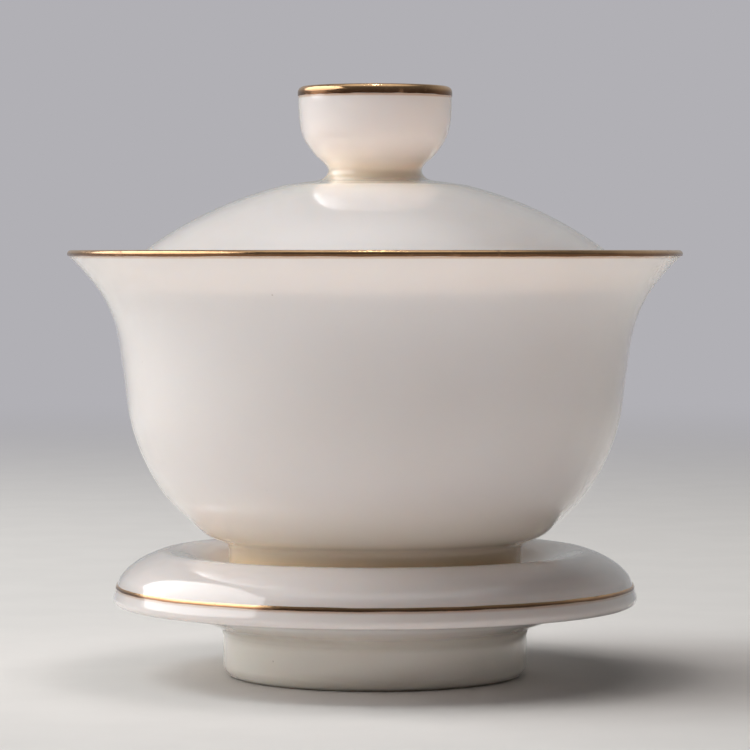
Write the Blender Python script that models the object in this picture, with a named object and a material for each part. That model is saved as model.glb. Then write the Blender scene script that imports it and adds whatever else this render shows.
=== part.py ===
"""A gaiwan: a lidded porcelain tea bowl on its pedestal saucer, with gilded edges.

Units are metres with +Z up. The saucer's foot stands on z = 0 and every piece is turned about
the Z axis, which is also the line along which the bowl and the lid lift off. The outlines below
are in millimetres, as (radius, height) points.
"""

import math

import bmesh
import bpy
from mathutils import Vector
from mathutils.geometry import interpolate_bezier

MM = 0.001
SEGMENTS = 56

# Saucer
SAUCER_RADIUS = 44.8
SAUCER_EDGE_ROUND = 1.1
CREST = (35.4, 21.45)
ARRIS_HEIGHT = 15.4
WELL_RADIUS = 26.0
WELL_FLOOR = 17.4
FOOT_RADIUS = 26.0
FOOT_INNER_RADIUS = 22.0
FOOT_CORNER_ROUND = 2.1
RECESS_CEILING = 12.8

# Bowl
SEAT_GAP = 0.3
LIP_CENTRE = (51.7, 71.95)
LIP_ROUND = 0.6
BOWL_FOOT_RADIUS = 25.05
BOWL_FOOT_INNER_RADIUS = 22.2
BOWL_FOOT_ROUND = 0.7
BOWL_FLOOR = 24.8
BOWL_UNDERSIDE = 22.0

# Lid
DOME_RADIUS = 66.0
DOME_CENTRE_HEIGHT = 19.55
LID_THICKNESS = 2.4
LID_EDGE_CENTRE = (44.4, 66.72)
LID_EDGE_ROUND = 1.2
KNOB_TOP = 100.4
KNOB_RADIUS = 13.1
KNOB_WALL = 1.9
KNOB_CUP_FLOOR = 89.6

# Gilding: a thin skin that follows the glaze
GILT_GAP = 0.05
GILT_THICKNESS = 0.15
KNOB_GILT_DEPTH = 1.65


def curve(points, count):
    """Smooth curve through the points, sampled at `count` places evenly along its length."""
    knots = [Vector(point) for point in points]
    dense = [knots[0]]
    for i, (a, b) in enumerate(zip(knots, knots[1:])):
        reach = (b - a).length / 3.0
        leave = a + heading(knots, i) * reach
        arrive = b - heading(knots, i + 1) * reach
        dense.extend(interpolate_bezier(a, leave, arrive, b, 12)[1:])
    return evenly(dense, count)


def heading(knots, i):
    """Direction of the curve at a knot, parallel to the line between its neighbours."""
    return (knots[min(i + 1, len(knots) - 1)] - knots[max(i - 1, 0)]).normalized()


def evenly(points, count):
    """`count` points spaced evenly along a polyline, its two ends included."""
    run = [0.0]
    for a, b in zip(points, points[1:]):
        run.append(run[-1] + (b - a).length)
    out = []
    seg = 0
    for i in range(count):
        want = run[-1] * i / (count - 1)
        while seg < len(points) - 2 and run[seg + 1] < want:
            seg += 1
        share = (want - run[seg]) / (run[seg + 1] - run[seg])
        out.append(tuple(points[seg].lerp(points[seg + 1], share)))
    return out


def arc(centre, radius, start, end, count):
    """Points on a circle; angles in degrees, from outward (0) towards up (90)."""
    angles = [math.radians(start + (end - start) * i / (count - 1)) for i in range(count)]
    return [(centre[0] + radius * math.cos(a), centre[1] + radius * math.sin(a)) for a in angles]


def dome(radius, r):
    """Point at distance r from the axis, on a sphere about the lid's centre of curvature."""
    return (r, DOME_CENTRE_HEIGHT + math.sqrt(radius * radius - r * r))


def saucer_arris():
    """The soft corner between the saucer's rim and its steep edge, from the top down."""
    return [(SAUCER_RADIUS - 0.8, ARRIS_HEIGHT + 0.45), (SAUCER_RADIUS - 0.61, ARRIS_HEIGHT),
            (SAUCER_RADIUS - 0.52, ARRIS_HEIGHT - 0.25)]


def saucer_outline():
    arris = saucer_arris()
    rim = curve([(WELL_RADIUS, WELL_FLOOR), (28.2, 18.3), (31.2, 20.3), CREST,
                 (38.4, 20.7), (41.5, 19.0), (43.35, 17.2), arris[0]], 12)
    edge_centre = (SAUCER_RADIUS - SAUCER_EDGE_ROUND, 13.4)
    edge = arc(edge_centre, SAUCER_EDGE_ROUND, 18, -78, 5)
    underside = [(39.0, 11.9), (35.3, 11.4), (31.6, 10.2)]
    junction = curve([(28.4, 9.15), (27.1, 8.6), (FOOT_RADIUS, 7.0)], 4)
    corner_centre = (FOOT_RADIUS - FOOT_CORNER_ROUND, FOOT_CORNER_ROUND)
    corner = arc(corner_centre, FOOT_CORNER_ROUND, 0, -90, 5)
    ring = [(FOOT_INNER_RADIUS + 0.5, 0.0), (FOOT_INNER_RADIUS, 0.5)]
    recess = curve([(FOOT_INNER_RADIUS - 0.3, 8.6), (20.6, 11.4), (17.0, RECESS_CEILING)], 4)
    return ([(0.0, WELL_FLOOR)] + rim[:-1] + arris + edge + underside + junction + corner + ring
            + recess + [(0.0, RECESS_CEILING)])


def bowl_lip():
    """The lip's rounded edge, from inside to outside."""
    return arc(LIP_CENTRE, LIP_ROUND, 140, -40, 6)


def bowl_outline():
    lip = bowl_lip()
    inside = curve([(12.0, BOWL_FLOOR + 0.1), (22.0, 26.1), (30.2, 29.6), (36.2, 36.0),
                    (39.5, 44.0), (41.2, 53.0), (43.3, 61.9), (46.6, 67.5), lip[0]], 12)
    outside = curve([lip[-1], (49.85, 69.2), (46.65, 65.1), (44.4, 60.0), (43.05, 52.3),
                     (41.7, 43.3), (39.25, 36.5), (35.95, 31.0), (32.0, 26.9), (29.0, 24.3),
                     (BOWL_FOOT_RADIUS + 0.5, 22.8)], 14)
    bottom = WELL_FLOOR + SEAT_GAP
    corner_centre = (BOWL_FOOT_RADIUS - BOWL_FOOT_ROUND, bottom + BOWL_FOOT_ROUND)
    corner = arc(corner_centre, BOWL_FOOT_ROUND, 0, -90, 3)
    ring = [(BOWL_FOOT_INNER_RADIUS + 0.6, bottom), (BOWL_FOOT_INNER_RADIUS, bottom + 0.6)]
    recess = [(BOWL_FOOT_INNER_RADIUS - 0.3, 20.8), (20.9, BOWL_UNDERSIDE)]
    return ([(0.0, BOWL_FLOOR)] + inside[:-1] + lip + outside[1:] + [(BOWL_FOOT_RADIUS, 21.9)]
            + corner + ring + recess + [(0.0, BOWL_UNDERSIDE)])


def knob_rim():
    """The rounded top of the knob's wall, from inside to outside."""
    radius = KNOB_WALL / 2.0
    return arc((KNOB_RADIUS - radius, KNOB_TOP - radius), radius, 180, 0, 6)


def lid_outline():
    rim = knob_rim()
    cup = curve([(4.0, KNOB_CUP_FLOOR + 0.15), (8.2, 90.6), (10.5, 93.4), rim[0]], 6)
    knob = curve([(KNOB_RADIUS, 97.5), (12.85, 94.2), (12.05, 91.4), (10.1, 88.7), (8.4, 87.1),
                  (8.0, 85.9), (9.2, 84.7), (12.0, 84.2), dome(DOME_RADIUS, 15.5)], 16)
    shell = [dome(DOME_RADIUS, 21.5 + 5.8 * i) for i in range(4)]
    edge = arc(LID_EDGE_CENTRE, LID_EDGE_ROUND, 47, -133, 5)
    under = [dome(DOME_RADIUS - LID_THICKNESS, 40.0 - 8.0 * i) for i in range(6)]
    return [(0.0, KNOB_CUP_FLOOR)] + cup[:-1] + rim + knob + shell + edge + under


def skin(stretch):
    """Closed section of a gilded band that lies on the given stretch of an outline."""
    return offset(stretch, GILT_GAP) + offset(stretch, GILT_GAP + GILT_THICKNESS)[::-1]


def offset(stretch, distance):
    """The stretch moved out of the porcelain, which lies on the right of its direction."""
    out = []
    for i, (r, z) in enumerate(stretch):
        before = stretch[max(i - 1, 0)]
        after = stretch[min(i + 1, len(stretch) - 1)]
        run = math.dist(before, after)
        out.append((r - distance * (after[1] - before[1]) / run,
                    z + distance * (after[0] - before[0]) / run))
    return out


def bowl_gilding():
    return skin(bowl_lip())


def knob_gilding():
    return skin(knob_rim() + [(KNOB_RADIUS, KNOB_TOP - KNOB_GILT_DEPTH)])


def saucer_gilding():
    return skin(saucer_arris())


def turned(name, outline, material):
    """One solid, made by turning a section about the Z axis."""
    mesh = bmesh.new()
    verts = [mesh.verts.new((r * MM, 0.0, z * MM)) for r, z in outline]
    edges = [mesh.edges.new(pair) for pair in zip(verts, verts[1:])]
    if outline[0][0] > 0.0:
        edges.append(mesh.edges.new((verts[-1], verts[0])))
    bmesh.ops.spin(mesh, geom=verts + edges, axis=(0.0, 0.0, 1.0), cent=(0.0, 0.0, 0.0),
                   angle=math.tau, steps=SEGMENTS, use_merge=True)
    bmesh.ops.remove_doubles(mesh, verts=mesh.verts, dist=1e-7)
    bmesh.ops.recalc_face_normals(mesh, faces=mesh.faces)
    data = bpy.data.meshes.new(name)
    mesh.to_mesh(data)
    mesh.free()
    data.materials.append(material)
    data.shade_smooth()
    data.set_sharp_from_angle(angle=math.radians(50.0))
    part = bpy.data.objects.new(name, data)
    bpy.context.scene.collection.objects.link(part)


def principled(name, colour, roughness, metallic):
    material = bpy.data.materials.new(name)
    material.use_nodes = True
    shader = material.node_tree.nodes["Principled BSDF"]
    shader.inputs["Base Color"].default_value = (*colour, 1.0)
    shader.inputs["Roughness"].default_value = roughness
    shader.inputs["Metallic"].default_value = metallic
    material.diffuse_color = (*colour, 1.0)
    return material


def main():
    for old in list(bpy.data.objects):
        bpy.data.objects.remove(old, do_unlink=True)
    porcelain = principled("porcelain", (0.82, 0.79, 0.74), 0.12, 0.0)
    gilt = principled("gilt", (0.72, 0.50, 0.22), 0.25, 1.0)
    turned("saucer", saucer_outline(), porcelain)
    turned("saucer_edge_gilding", saucer_gilding(), gilt)
    turned("bowl", bowl_outline(), porcelain)
    turned("bowl_lip_gilding", bowl_gilding(), gilt)
    turned("lid", lid_outline(), porcelain)
    turned("knob_rim_gilding", knob_gilding(), gilt)


main()
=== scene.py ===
"""The looks of a lidded porcelain tea bowl on its saucer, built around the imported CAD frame.

Outlines are in millimetres, as (radius, height) points about the Z axis of the CAD frame, where
the saucer's foot stands on z = 0. Everything else is in metres.
"""

import math

import bmesh
import bpy
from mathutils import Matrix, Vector
from mathutils.geometry import interpolate_bezier


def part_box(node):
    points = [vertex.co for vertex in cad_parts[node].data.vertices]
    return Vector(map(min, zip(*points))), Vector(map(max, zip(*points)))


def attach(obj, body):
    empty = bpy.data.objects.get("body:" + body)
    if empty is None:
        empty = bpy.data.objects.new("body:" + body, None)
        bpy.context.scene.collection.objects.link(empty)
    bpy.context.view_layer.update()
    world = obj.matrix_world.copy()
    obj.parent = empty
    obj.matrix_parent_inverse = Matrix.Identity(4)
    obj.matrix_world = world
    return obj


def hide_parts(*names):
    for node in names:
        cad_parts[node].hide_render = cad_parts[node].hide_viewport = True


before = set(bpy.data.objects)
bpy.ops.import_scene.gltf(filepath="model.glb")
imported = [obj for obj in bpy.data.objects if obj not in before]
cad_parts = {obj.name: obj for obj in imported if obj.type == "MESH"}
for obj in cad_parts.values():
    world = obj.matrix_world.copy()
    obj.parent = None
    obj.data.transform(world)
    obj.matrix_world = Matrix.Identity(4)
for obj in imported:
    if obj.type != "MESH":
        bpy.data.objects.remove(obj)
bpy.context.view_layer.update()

MM = 0.001
TURNS = 192

# Saucer
SAUCER_RADIUS = 44.8
SAUCER_EDGE_ROUND = 1.1
SAUCER_EDGE_HEIGHT = 13.4
CREST = (35.4, 21.45)
ARRIS_HEIGHT = 15.4
WELL_RADIUS = 26.0
WELL_FLOOR = 17.4
FOOT_RADIUS = 26.0
FOOT_INNER_RADIUS = 22.0
FOOT_CORNER_ROUND = 2.1
RECESS_CEILING = 12.8

# Bowl
SEAT_GAP = 0.3
LIP_CENTRE = (51.7, 71.95)
LIP_ROUND = 0.6
BOWL_FOOT_RADIUS = 25.05
BOWL_FOOT_INNER_RADIUS = 22.2
BOWL_FOOT_ROUND = 0.7
BOWL_FLOOR = 24.8
BOWL_UNDERSIDE = 22.0

# Lid
DOME_RADIUS = 66.0
DOME_CENTRE_HEIGHT = 19.55
LID_THICKNESS = 2.4
LID_EDGE_CENTRE = (44.4, 66.72)
LID_EDGE_ROUND = 1.2
KNOB_TOP = 100.4
KNOB_RADIUS = 13.1
KNOB_WALL = 1.9
KNOB_CUP_FLOOR = 89.6

# Gilding
GILT_GAP = 0.02
GILT_THICKNESS = 0.05
KNOB_GILT_DEPTH = 1.65
BRUSH_WOBBLE = 0.07


# ---------------------------------------------------------------- outlines

def curve(points, count):
    """Smooth curve through the points, sampled at `count` places evenly along its length."""
    knots = [Vector(point) for point in points]
    dense = [knots[0]]
    for i, (a, b) in enumerate(zip(knots, knots[1:])):
        reach = (b - a).length / 3.0
        leave = a + heading(knots, i) * reach
        arrive = b - heading(knots, i + 1) * reach
        dense.extend(interpolate_bezier(a, leave, arrive, b, 24)[1:])
    return evenly(dense, count)


def heading(knots, i):
    """Direction of the curve at a knot, parallel to the line between its neighbours."""
    return (knots[min(i + 1, len(knots) - 1)] - knots[max(i - 1, 0)]).normalized()


def evenly(points, count):
    """`count` points spaced evenly along a polyline, its two ends included."""
    run = [0.0]
    for a, b in zip(points, points[1:]):
        run.append(run[-1] + (b - a).length)
    out = []
    seg = 0
    for i in range(count):
        want = run[-1] * i / (count - 1)
        while seg < len(points) - 2 and run[seg + 1] < want:
            seg += 1
        share = (want - run[seg]) / (run[seg + 1] - run[seg])
        out.append(tuple(points[seg].lerp(points[seg + 1], share)))
    return out


def arc(centre, radius, start, end, count):
    """Points on a circle; angles in degrees, from outward (0) towards up (90)."""
    angles = [math.radians(start + (end - start) * i / (count - 1)) for i in range(count)]
    return [(centre[0] + radius * math.cos(a), centre[1] + radius * math.sin(a)) for a in angles]


def straight(a, b, count):
    """Points from a to b, both included."""
    return [tuple(Vector(a).lerp(Vector(b), i / (count - 1))) for i in range(count)]


def dome(radius, r):
    """Point at distance r from the axis, on a sphere about the lid's centre of curvature."""
    return (r, DOME_CENTRE_HEIGHT + math.sqrt(radius * radius - r * r))


def saucer_arris():
    """The soft corner between the saucer's rim and its steep edge, from the top down."""
    return curve([(SAUCER_RADIUS - 0.8, ARRIS_HEIGHT + 0.45), (SAUCER_RADIUS - 0.61, ARRIS_HEIGHT),
                  (SAUCER_RADIUS - 0.52, ARRIS_HEIGHT - 0.25),
                  (SAUCER_RADIUS - 0.15, ARRIS_HEIGHT - 1.35)], 16)


def saucer_outline():
    arris = saucer_arris()
    floor = straight((0.0, WELL_FLOOR), (WELL_RADIUS - 1.2, WELL_FLOOR), 12)
    rim = curve([(WELL_RADIUS - 1.2, WELL_FLOOR), (WELL_RADIUS, WELL_FLOOR + 0.12), (28.2, 18.3),
                 (31.2, 20.3), CREST, (38.4, 20.7), (41.5, 19.0), (43.35, 17.2), arris[0]], 56)
    edge_centre = (SAUCER_RADIUS - SAUCER_EDGE_ROUND, SAUCER_EDGE_HEIGHT)
    edge = arc(edge_centre, SAUCER_EDGE_ROUND, 18, -80, 18)
    underside = curve([edge[-1], (39.0, 11.9), (35.3, 11.4), (31.6, 10.2), (28.4, 9.15)], 28)
    junction = curve([underside[-1], (27.3, 8.75), (26.4, 8.1), (FOOT_RADIUS, 7.0)], 16)
    corner_centre = (FOOT_RADIUS - FOOT_CORNER_ROUND, FOOT_CORNER_ROUND)
    wall = straight(junction[-1], (FOOT_RADIUS, FOOT_CORNER_ROUND), 8)
    corner = arc(corner_centre, FOOT_CORNER_ROUND, 0, -90, 14)
    ring = arc((FOOT_INNER_RADIUS + 0.5, 0.5), 0.5, -90, -180, 6)
    recess = curve([(FOOT_INNER_RADIUS - 0.05, 1.6), (FOOT_INNER_RADIUS - 0.3, 8.6), (20.6, 11.4),
                    (17.0, RECESS_CEILING)], 20)
    ceiling = straight(recess[-1], (0.0, RECESS_CEILING), 8)
    return (floor[:-1] + rim[:-1] + arris + edge + underside[1:-1] + junction + wall[1:-1]
            + corner + ring + recess + ceiling[1:])


def bowl_lip():
    """The lip's rounded edge, from inside to outside."""
    return arc(LIP_CENTRE, LIP_ROUND, 140, -40, 20)


def bowl_outline():
    lip = bowl_lip()
    floor = straight((0.0, BOWL_FLOOR), (12.0, BOWL_FLOOR + 0.1), 8)
    inside = curve([(12.0, BOWL_FLOOR + 0.1), (22.0, 26.1), (30.2, 29.6), (36.2, 36.0),
                    (39.5, 44.0), (41.2, 53.0), (43.3, 61.9), (46.6, 67.5), lip[0]], 48)
    outside = curve([lip[-1], (49.85, 69.2), (46.65, 65.1), (44.4, 60.0), (43.05, 52.3),
                     (41.7, 43.3), (39.25, 36.5), (35.95, 31.0), (32.0, 26.9), (29.0, 24.3),
                     (BOWL_FOOT_RADIUS + 0.5, 22.8), (BOWL_FOOT_RADIUS, 21.9)], 72)
    bottom = WELL_FLOOR + SEAT_GAP
    corner_centre = (BOWL_FOOT_RADIUS - BOWL_FOOT_ROUND, bottom + BOWL_FOOT_ROUND)
    corner = arc(corner_centre, BOWL_FOOT_ROUND, 0, -90, 8)
    ring = arc((BOWL_FOOT_INNER_RADIUS + 0.6, bottom + 0.6), 0.6, -90, -180, 6)
    recess = curve([(BOWL_FOOT_INNER_RADIUS - 0.05, bottom + 1.2),
                    (BOWL_FOOT_INNER_RADIUS - 0.3, 20.8), (20.9, BOWL_UNDERSIDE)], 8)
    underside = straight(recess[-1], (0.0, BOWL_UNDERSIDE), 8)
    return (floor[:-1] + inside[:-1] + lip + outside[1:] + corner + ring + recess
            + underside[1:])


def knob_rim():
    """The rounded top of the knob's wall, from inside to outside."""
    radius = KNOB_WALL / 2.0
    return arc((KNOB_RADIUS - radius, KNOB_TOP - radius), radius, 180, 0, 24)


def lid_outline():
    rim = knob_rim()
    cup = curve([(0.0, KNOB_CUP_FLOOR), (4.0, KNOB_CUP_FLOOR + 0.15), (8.2, 90.6), (10.5, 93.4),
                 rim[0]], 28)
    knob = curve([(KNOB_RADIUS, KNOB_TOP - KNOB_WALL / 2.0), (KNOB_RADIUS, 97.5), (12.85, 94.2),
                  (12.05, 91.4), (10.1, 88.7), (8.4, 87.1), (8.0, 85.9), (9.2, 84.7),
                  (12.0, 84.2), dome(DOME_RADIUS, 15.5)], 64)
    shell = [dome(DOME_RADIUS, 16.2 + 1.1 * i) for i in range(26)]
    edge = arc(LID_EDGE_CENTRE, LID_EDGE_ROUND, 47, -133, 16)
    under = [dome(DOME_RADIUS - LID_THICKNESS, 42.4 - 1.6 * i) for i in range(27)]
    middle = dome(DOME_RADIUS - LID_THICKNESS, 0.0)
    return cup[:-1] + rim + knob[1:] + shell + edge + under[:-1] + [middle]


# ---------------------------------------------------------------- gilded bands

def offset(stretch, distance):
    """The stretch moved out of the porcelain, which lies on the right of its direction."""
    out = []
    for i, (r, z) in enumerate(stretch):
        before = stretch[max(i - 1, 0)]
        after = stretch[min(i + 1, len(stretch) - 1)]
        run = math.dist(before, after)
        out.append((r - distance * (after[1] - before[1]) / run,
                    z + distance * (after[0] - before[0]) / run))
    return out


def saucer_gilded_stretch():
    """The top of the saucer's arris."""
    return saucer_arris()[:7]


def knob_gilded_stretch():
    """The knob's rim and the top of its outer wall, down to where the gold ends."""
    wall_top = (KNOB_RADIUS, KNOB_TOP - KNOB_WALL / 2.0 - 0.1)
    return knob_rim() + straight(wall_top, (KNOB_RADIUS, KNOB_TOP - KNOB_GILT_DEPTH), 6)


def wobble(angle, waves):
    """How far a hand-painted edge strays at this angle, from -1 to 1."""
    return sum(math.sin(n * angle + 1.7 * n) for n in waves) / len(waves)


def painted(stretch, waves):
    """Section of a gilded band at any angle. Its two edges stray a little along the glaze."""
    knots = [Vector(point) for point in stretch]
    length = sum((b - a).length for a, b in zip(knots, knots[1:]))

    def section(angle):
        first = BRUSH_WOBBLE * (1.0 + wobble(angle, waves)) / length
        last = BRUSH_WOBBLE * (1.0 + wobble(angle + 2.1, waves[::-1])) / length
        line = trimmed(knots, first, 1.0 - last, len(stretch))
        return offset(line, GILT_GAP) + offset(line, GILT_GAP + GILT_THICKNESS)[::-1]
    return section


def trimmed(knots, first, last, count):
    """The part of a polyline between two shares of its length, as `count` points."""
    fine = evenly(knots, 8 * count)
    low = first * (len(fine) - 1)
    high = last * (len(fine) - 1)
    out = []
    for i in range(count):
        at = low + (high - low) * i / (count - 1)
        k = min(int(at), len(fine) - 2)
        out.append(tuple(Vector(fine[k]).lerp(Vector(fine[k + 1]), at - k)))
    return out


# ---------------------------------------------------------------- solids

def turned(name, section, body, cad_node, material):
    """A piece turned about the Z axis; section(angle) gives its outline at that angle."""
    mesh = bmesh.new()
    rings = []
    for k in range(TURNS):
        angle = math.tau * k / TURNS
        rings.append([mesh.verts.new((r * MM * math.cos(angle), r * MM * math.sin(angle), z * MM))
                      for r, z in section(angle)])
    closed = section(0.0)[0][0] > 0.0
    for k, ring in enumerate(rings):
        onward = rings[(k + 1) % TURNS]
        for i in range(len(ring) if closed else len(ring) - 1):
            j = (i + 1) % len(ring)
            mesh.faces.new((ring[i], ring[j], onward[j], onward[i]))
    bmesh.ops.remove_doubles(mesh, verts=mesh.verts, dist=1e-7)
    bmesh.ops.recalc_face_normals(mesh, faces=mesh.faces)
    data = bpy.data.meshes.new(name)
    mesh.to_mesh(data)
    mesh.free()
    data.materials.append(material)
    data.shade_smooth()
    data.set_sharp_from_angle(angle=math.radians(60.0))
    piece = bpy.data.objects.new(name, data)
    bpy.context.scene.collection.objects.link(piece)
    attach(piece, body)
    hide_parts(cad_node)


# ---------------------------------------------------------------- materials

def node(tree, kind, inputs, **settings):
    """Adds a node. inputs maps a socket to a value, or to the output that feeds it."""
    made = tree.nodes.new(kind)
    for key, value in settings.items():
        setattr(made, key, value)
    for key, value in inputs.items():
        if isinstance(value, bpy.types.NodeSocket):
            tree.links.new(value, made.inputs[key])
        else:
            made.inputs[key].default_value = value
    return made


def math_node(tree, operation, a, b=0.0):
    return node(tree, "ShaderNodeMath", {0: a, 1: b}, operation=operation).outputs[0]


def mixed(tree, factor, a, b):
    """Blend of two colours; each may be a colour or an output."""
    made = node(tree, "ShaderNodeMix", {0: factor, 6: rgba(a), 7: rgba(b)}, data_type="RGBA")
    return made.outputs[2]


def rgba(colour):
    return colour if isinstance(colour, bpy.types.NodeSocket) else (*colour, 1.0)


def ramp(tree, value, low, high, to_low=0.0, to_high=1.0):
    """Smooth step from to_low at low to to_high at high."""
    made = node(tree, "ShaderNodeMapRange", {0: value, 1: low, 2: high, 3: to_low, 4: to_high},
                interpolation_type="SMOOTHSTEP")
    return made.outputs[0]


def noise(tree, coords, scale, detail=3.0):
    made = node(tree, "ShaderNodeTexNoise", {"Vector": coords, "Scale": scale, "Detail": detail})
    return made.outputs["Fac"]


def place(tree):
    """The point on the piece at rest, its height in mm and its distance from the axis in mm."""
    coords = node(tree, "ShaderNodeTexCoord", {}).outputs["Object"]
    parts = node(tree, "ShaderNodeSeparateXYZ", {0: coords}).outputs
    height = math_node(tree, "MULTIPLY", parts[2], 1.0 / MM)
    flat = node(tree, "ShaderNodeVectorMath", {0: coords, 1: (1.0, 1.0, 0.0)},
                operation="MULTIPLY").outputs[0]
    distance = node(tree, "ShaderNodeVectorMath", {0: flat}, operation="LENGTH").outputs["Value"]
    return coords, height, math_node(tree, "MULTIPLY", distance, 1.0 / MM)


def around(tree, value, centre, reach):
    """1 where value is at centre, falling smoothly to 0 at that distance from it."""
    away = math_node(tree, "ABSOLUTE", math_node(tree, "SUBTRACT", value, centre))
    return ramp(tree, away, 0.0, reach, 1.0, 0.0)


IVORY = (0.84, 0.775, 0.745)
IVORY_DEEP = (0.825, 0.755, 0.72)
# Painted light: warm and pale glow that lightens the shaded hollows at the bowl's foot, the
# saucer's well and the knob's neck.
PAINTED_WARM_GLOW = (1.0, 0.73, 0.45)
PAINTED_PALE_GLOW = (0.97, 0.88, 0.78)
# Painted light: brightens the band under the saucer's rim, which lies in shade.
PAINTED_UNDERSIDE_LIGHT = (0.93, 0.93, 0.94)
FRINGE = (0.60, 0.36, 0.19)
BISCUIT = (0.74, 0.69, 0.62)
SPECK = (0.42, 0.34, 0.26)
GLAZE_ROUGHNESS = (0.14, 0.24)
BISCUIT_ROUGHNESS = 0.75
BUMP_HEIGHT = 0.00001

# Scales of the noises: about how many features there are in a metre
CLOUDS = 38.0
SPECKS = 120.0
PATCHES = 90.0
SWELLS = 70.0
GRAIN = 2500.0
SAND = 5000.0
RAGGED_EDGE = 600.0

# Tints: (colour, strength, measured along, centre in mm, reach in mm). The glow tints and the
# underside light are painted light in shaded places; the fringe is gold that has bled into the
# glaze.
SAUCER_TINTS = [(PAINTED_UNDERSIDE_LIGHT, 1.0, "height", 10.6, 2.2), (PAINTED_PALE_GLOW, 1.0, "radius", 26.0, 9.0),
                (FRINGE, 0.55, "height", 15.1, 0.45)]
BOWL_TINTS = [(PAINTED_PALE_GLOW, 1.0, "height", 22.0, 13.0), (PAINTED_WARM_GLOW, 0.9, "height", 19.0, 5.0),
              (FRINGE, 0.7, "height", 71.45, 0.35)]
LID_TINTS = [(PAINTED_PALE_GLOW, 0.9, "height", 85.3, 5.0), (PAINTED_WARM_GLOW, 0.45, "height", 85.3, 2.6),
             (FRINGE, 0.7, "height", 98.65, 0.35)]
SAUCER_BARE_BELOW = 0.45
BOWL_BARE_BELOW = 18.1


def porcelain(name, tints, bare_below):
    """Glazed ivory porcelain.

    The tints paint light into the colour: a warm painted glow and painted lightening in shaded
    hollows, which stand in for light that has been through the porcelain, and a painted brighter
    band under the saucer's rim. The fringe tint is gold that has bled into the glaze. Under the
    height bare_below, in mm, the clay is unglazed.
    """
    material = bpy.data.materials.new(name)
    material.use_nodes = True
    tree = material.node_tree
    shader = tree.nodes["Principled BSDF"]
    coords, height, radius = place(tree)

    clouds = noise(tree, coords, CLOUDS, 2.0)
    colour = mixed(tree, ramp(tree, clouds, 0.3, 0.7), IVORY, IVORY_DEEP)
    # Painted light and shade: each glow tint lightens and warms a shaded hollow, and the underside
    # tint lightens the band under the saucer's rim. The fringe is gold in the glaze.
    for tint, strength, measure, centre, reach in tints:
        share = around(tree, height if measure == "height" else radius, centre, reach)
        colour = mixed(tree, math_node(tree, "MULTIPLY", share, strength), colour, tint)
    cells = node(tree, "ShaderNodeTexVoronoi", {"Vector": coords, "Scale": SPECKS})
    specks = ramp(tree, cells.outputs["Distance"], 0.010, 0.022, 0.6, 0.0)
    colour = mixed(tree, specks, colour, SPECK)
    ragged = math_node(tree, "MULTIPLY", noise(tree, coords, RAGGED_EDGE), 0.25)
    bare = ramp(tree, math_node(tree, "SUBTRACT", height, ragged), bare_below - 0.12,
                bare_below + 0.05, 1.0, 0.0)
    colour = mixed(tree, bare, colour, BISCUIT)
    tree.links.new(colour, shader.inputs["Base Color"])

    patches = ramp(tree, noise(tree, coords, PATCHES), 0.3, 0.7, *GLAZE_ROUGHNESS)
    rough = node(tree, "ShaderNodeMix", {0: bare, 2: patches, 3: BISCUIT_ROUGHNESS},
                 data_type="FLOAT")
    tree.links.new(rough.outputs[0], shader.inputs["Roughness"])
    tree.links.new(math_node(tree, "SUBTRACT", 1.0, bare), shader.inputs["Coat Weight"])
    shader.inputs["Coat Roughness"].default_value = 0.015
    shader.inputs["Coat IOR"].default_value = 1.6
    shader.inputs["IOR"].default_value = 1.45
    shader.inputs["Subsurface Weight"].default_value = 0.45
    shader.inputs["Subsurface Radius"].default_value = (1.0, 0.8, 0.65)
    shader.inputs["Subsurface Scale"].default_value = 0.005

    swell = noise(tree, coords, SWELLS, 1.0)
    grain = math_node(tree, "MULTIPLY", noise(tree, coords, GRAIN, 1.0), 0.05)
    sandy = math_node(tree, "MULTIPLY", math_node(tree, "MULTIPLY", bare, 3.0),
                      noise(tree, coords, SAND, 2.0))
    surface = math_node(tree, "ADD", math_node(tree, "ADD", swell, grain), sandy)
    bump = node(tree, "ShaderNodeBump",
                {"Height": surface, "Distance": BUMP_HEIGHT, "Strength": 0.6})
    tree.links.new(bump.outputs[0], shader.inputs["Normal"])
    tree.links.new(bump.outputs[0], shader.inputs["Coat Normal"])
    material.diffuse_color = (*IVORY, 1.0)
    return material


GOLD = (0.86, 0.55, 0.30)
# Painted reflection: the dark brown that the gold fades to near its lower edge.
GOLD_PAINTED_DARK_REFLECTION = (0.22, 0.11, 0.055)
GOLD_WORN = (0.45, 0.25, 0.13)
GOLD_ROUGHNESS = (0.11, 0.25)
STRAYS = 140.0
WORN_SPOTS = 420.0
STROKES = 900.0


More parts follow.
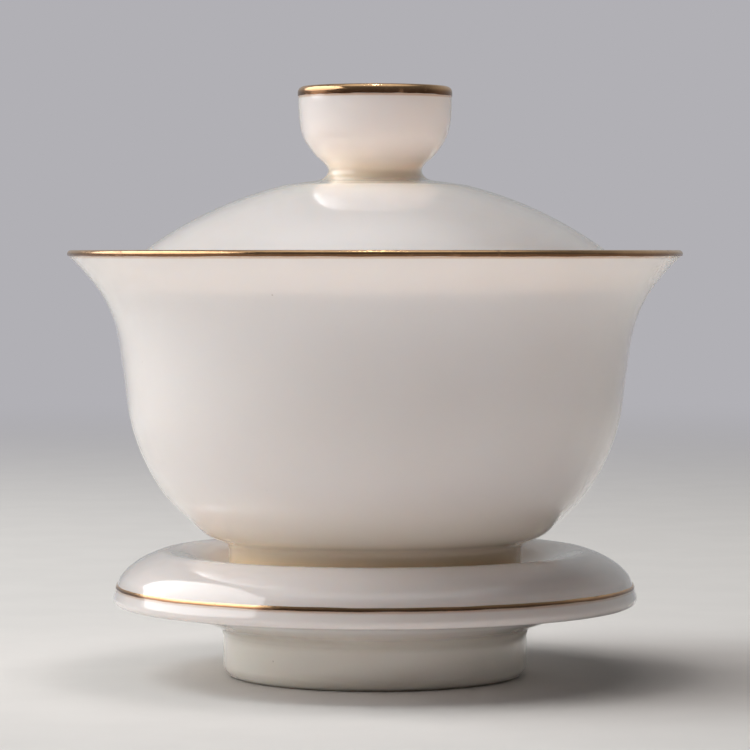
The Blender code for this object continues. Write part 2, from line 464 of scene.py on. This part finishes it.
def gilt(name, low, high):
    """Hand-painted gold, thin in places: bright on top, and browner towards its lower edge as a
    painted dark reflection.

    low and high are the heights in mm between which the gold lies.
    """
    material = bpy.data.materials.new(name)
    material.use_nodes = True
    tree = material.node_tree
    shader = tree.nodes["Principled BSDF"]
    coords, height, _ = place(tree)
    stray = math_node(tree, "MULTIPLY", noise(tree, coords, STRAYS), 0.25 * (high - low))
    # Painted reflection: the gold darkens to brown towards its lower edge.
    painted_reflection_ramp = ramp(tree, math_node(tree, "ADD", height, stray), low + 0.35 * (high - low), high)
    colour = mixed(tree, painted_reflection_ramp, GOLD_PAINTED_DARK_REFLECTION, GOLD)
    worn = ramp(tree, noise(tree, coords, WORN_SPOTS, 4.0), 0.60, 0.72, 0.0, 0.75)
    colour = mixed(tree, worn, colour, GOLD_WORN)
    tree.links.new(colour, shader.inputs["Base Color"])
    along = node(tree, "ShaderNodeVectorMath", {0: coords, 1: (1.0, 1.0, 6.0)},
                 operation="MULTIPLY").outputs[0]
    strokes = noise(tree, along, STROKES, 4.0)
    tree.links.new(ramp(tree, strokes, 0.3, 0.7, *GOLD_ROUGHNESS), shader.inputs["Roughness"])
    tree.links.new(math_node(tree, "SUBTRACT", 1.0, math_node(tree, "MULTIPLY", worn, 0.4)),
                   shader.inputs["Metallic"])
    bump = node(tree, "ShaderNodeBump",
                {"Height": strokes, "Distance": BUMP_HEIGHT, "Strength": 0.7})
    tree.links.new(bump.outputs[0], shader.inputs["Normal"])
    material.diffuse_color = (*GOLD, 1.0)
    return material


# ---------------------------------------------------------------- stage, light and camera

WHITE = (1.0, 1.0, 1.0)
BACKDROP = (0.440, 0.434, 0.462)
FLOOR = (0.68, 0.66, 0.635)
FLOOR_RADIUS = 4.0
FADE_FROM = 0.2
FADE_TO = 1.1
WALL_BEHIND = 0.27
WALL_IN_FRONT = 0.05
SHINE_AROUND = 0.1
SHINE_OVERHEAD = 0.8
AIM = Vector((0.0, 0.0, 0.05))
CARD_HEIGHT = 0.002
CAMERA_DISTANCE = 0.6
CAMERA_HEIGHT = 0.0723
CAMERA_TILT = 2.006
SENSOR_WIDTH = 36.0
LENS = 168.6
PAPER_FIBRES = 55.0


def floor_material():
    """Pale matt floor that fades into the backdrop's own colour as it gets further away."""
    material = bpy.data.materials.new("floor_paper")
    material.use_nodes = True
    tree = material.node_tree
    shader = tree.nodes["Principled BSDF"]
    coords, _, radius = place(tree)
    fibres = ramp(tree, noise(tree, coords, PAPER_FIBRES, 4.0), 0.3, 0.7)
    lighter = tuple(1.03 * c for c in FLOOR)
    tree.links.new(mixed(tree, fibres, FLOOR, lighter), shader.inputs["Base Color"])
    shader.inputs["Roughness"].default_value = 0.7
    far = node(tree, "ShaderNodeEmission", {"Color": (*BACKDROP, 1.0), "Strength": 1.0})
    fade = ramp(tree, radius, FADE_FROM / MM, FADE_TO / MM)
    blend = node(tree, "ShaderNodeMixShader", {0: fade, 1: shader.outputs[0], 2: far.outputs[0]})
    output = tree.nodes["Material Output"]
    tree.links.new(blend.outputs[0], output.inputs["Surface"])
    return material


def make_floor():
    mesh = bmesh.new()
    bmesh.ops.create_circle(mesh, cap_ends=True, segments=96, radius=FLOOR_RADIUS)
    data = bpy.data.meshes.new("floor")
    mesh.to_mesh(data)
    mesh.free()
    data.materials.append(floor_material())
    floor = bpy.data.objects.new("floor", data)
    bpy.context.scene.collection.objects.link(floor)


def make_world():
    """The studio's walls: grey behind the object, dark in front and overhead.

    Reflections find a little more light there, which keeps the gold from going black, and the
    camera sees one even grey.
    """
    world = bpy.data.worlds.new("studio")
    world.use_nodes = True
    tree = world.node_tree
    coords = node(tree, "ShaderNodeTexCoord", {}).outputs["Generated"]
    _, y, z = node(tree, "ShaderNodeSeparateXYZ", {0: coords}).outputs
    walls = math_node(tree, "MULTIPLY", ramp(tree, y, -0.1, 0.5, WALL_IN_FRONT, WALL_BEHIND),
                      ramp(tree, z, 0.35, 0.8, 1.0, 0.1))
    path = node(tree, "ShaderNodeLightPath", {}).outputs
    shine = math_node(tree, "MULTIPLY", path["Is Glossy Ray"],
                      ramp(tree, z, 0.75, 0.98, SHINE_AROUND, SHINE_OVERHEAD))
    level = math_node(tree, "ADD", walls, shine)
    lit = node(tree, "ShaderNodeBackground", {"Color": (*WHITE, 1.0), "Strength": level})
    paper = node(tree, "ShaderNodeBackground", {"Color": (*BACKDROP, 1.0), "Strength": 1.0})
    both = node(tree, "ShaderNodeMixShader",
                {0: path["Is Camera Ray"], 1: lit.outputs[0], 2: paper.outputs[0]})
    tree.links.new(both.outputs[0], tree.nodes["World Output"].inputs["Surface"])
    bpy.context.scene.world = world


def area_light(name, place_at, facing, size, radiance, glossy, colour):
    """Oval light that the camera doesn't see; glossy says whether reflections show it."""
    light = bpy.data.lights.new(name, "AREA")
    light.shape = "ELLIPSE"
    light.size, light.size_y = size
    area = math.pi / 4.0 * size[0] * size[1]
    light.energy = radiance * math.pi * area
    light.color = colour
    lamp = bpy.data.objects.new(name, light)
    lamp.location = place_at
    lamp.rotation_mode = "QUATERNION"
    lamp.rotation_quaternion = (-Vector(facing)).to_track_quat("Z", "Y")
    lamp.visible_camera = False
    lamp.visible_glossy = glossy
    bpy.context.scene.collection.objects.link(lamp)


def softbox(name, azimuth, elevation, distance, size, radiance, glossy, colour=WHITE):
    """Light that faces the object. Azimuth 0 is the camera's side and 90 the left, in degrees."""
    a = math.radians(azimuth)
    e = math.radians(elevation)
    away = Vector((-math.sin(a) * math.cos(e), -math.cos(a) * math.cos(e), math.sin(e)))
    area_light(name, AIM + away * distance, -away, size, radiance, glossy, colour)


def bounce_card(name, x, y, size, radiance, colour):
    """Card that lies on the floor and throws light up."""
    area_light(name, (x, y, CARD_HEIGHT), (0.0, 0.0, 1.0), size, radiance, False, colour)


def make_camera():
    """Level with the bowl's lip, in front of the axis, and looking slightly down."""
    data = bpy.data.cameras.new("camera")
    data.sensor_width = SENSOR_WIDTH
    data.lens = LENS
    data.clip_start = 0.01
    data.clip_end = 20.0
    camera = bpy.data.objects.new("camera", data)
    camera.location = (0.0, -CAMERA_DISTANCE, CAMERA_HEIGHT)
    camera.rotation_euler = (math.radians(90.0 - CAMERA_TILT), 0.0, 0.0)
    bpy.context.scene.collection.objects.link(camera)
    bpy.context.scene.camera = camera


# ---------------------------------------------------------------- the scene

lip_low, lip_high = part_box("bowl_lip_gilding")
knob_low, knob_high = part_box("knob_rim_gilding")
edge_low, edge_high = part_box("saucer_edge_gilding")

make_camera()
make_world()
make_floor()
softbox("key", 96.0, 30.0, 0.85, (1.28, 0.80), 2.4, True)
softbox("high_left", 90.0, 60.0, 1.2, (0.6, 0.6), 5.4, False, (0.91, 0.96, 0.98))
softbox("overhead", 0.0, 88.0, 1.2, (0.5, 0.5), 8.5, False, (1.0, 0.96, 0.955))
softbox("lamp", -8.0, 88.5, 1.0, (0.07, 0.07), 38.0, True)
softbox("rear_lamp", 178.0, 53.0, 1.0, (0.024, 0.034), 7.0, True)
bounce_card("card_right", 0.6, 0.0, (0.8, 0.5), 1.2, (1.0, 0.85, 0.74))
bounce_card("card_front", 0.0, -0.75, (1.6, 1.0), 2.2, (1.0, 0.94, 0.94))
bounce_card("card_near", 0.0, -0.06, (0.16, 0.06), 0.13, (1.0, 0.9, 0.95))

turned("saucer_body", lambda angle: saucer_outline(), "saucer", "saucer",
       porcelain("saucer_porcelain", SAUCER_TINTS, SAUCER_BARE_BELOW))
turned("bowl_body", lambda angle: bowl_outline(), "bowl", "bowl",
       porcelain("bowl_porcelain", BOWL_TINTS, BOWL_BARE_BELOW))
turned("lid_body", lambda angle: lid_outline(), "lid", "lid",
       porcelain("lid_porcelain", LID_TINTS, 0.0))

turned("saucer_gold_line", painted(saucer_gilded_stretch(), (5, 9, 17, 31)), "saucer",
       "saucer_edge_gilding", gilt("saucer_gold", edge_low.z / MM, edge_high.z / MM))
turned("bowl_gold_line", painted(bowl_lip(), (4, 11, 19, 37)), "bowl",
       "bowl_lip_gilding", gilt("bowl_gold", lip_low.z / MM, lip_high.z / MM))
turned("knob_gold_line", painted(knob_gilded_stretch(), (3, 7, 13, 23)), "lid",
       "knob_rim_gilding", gilt("knob_gold", knob_low.z / MM, knob_high.z / MM))

bpy.context.scene.view_settings.view_transform = "Standard"
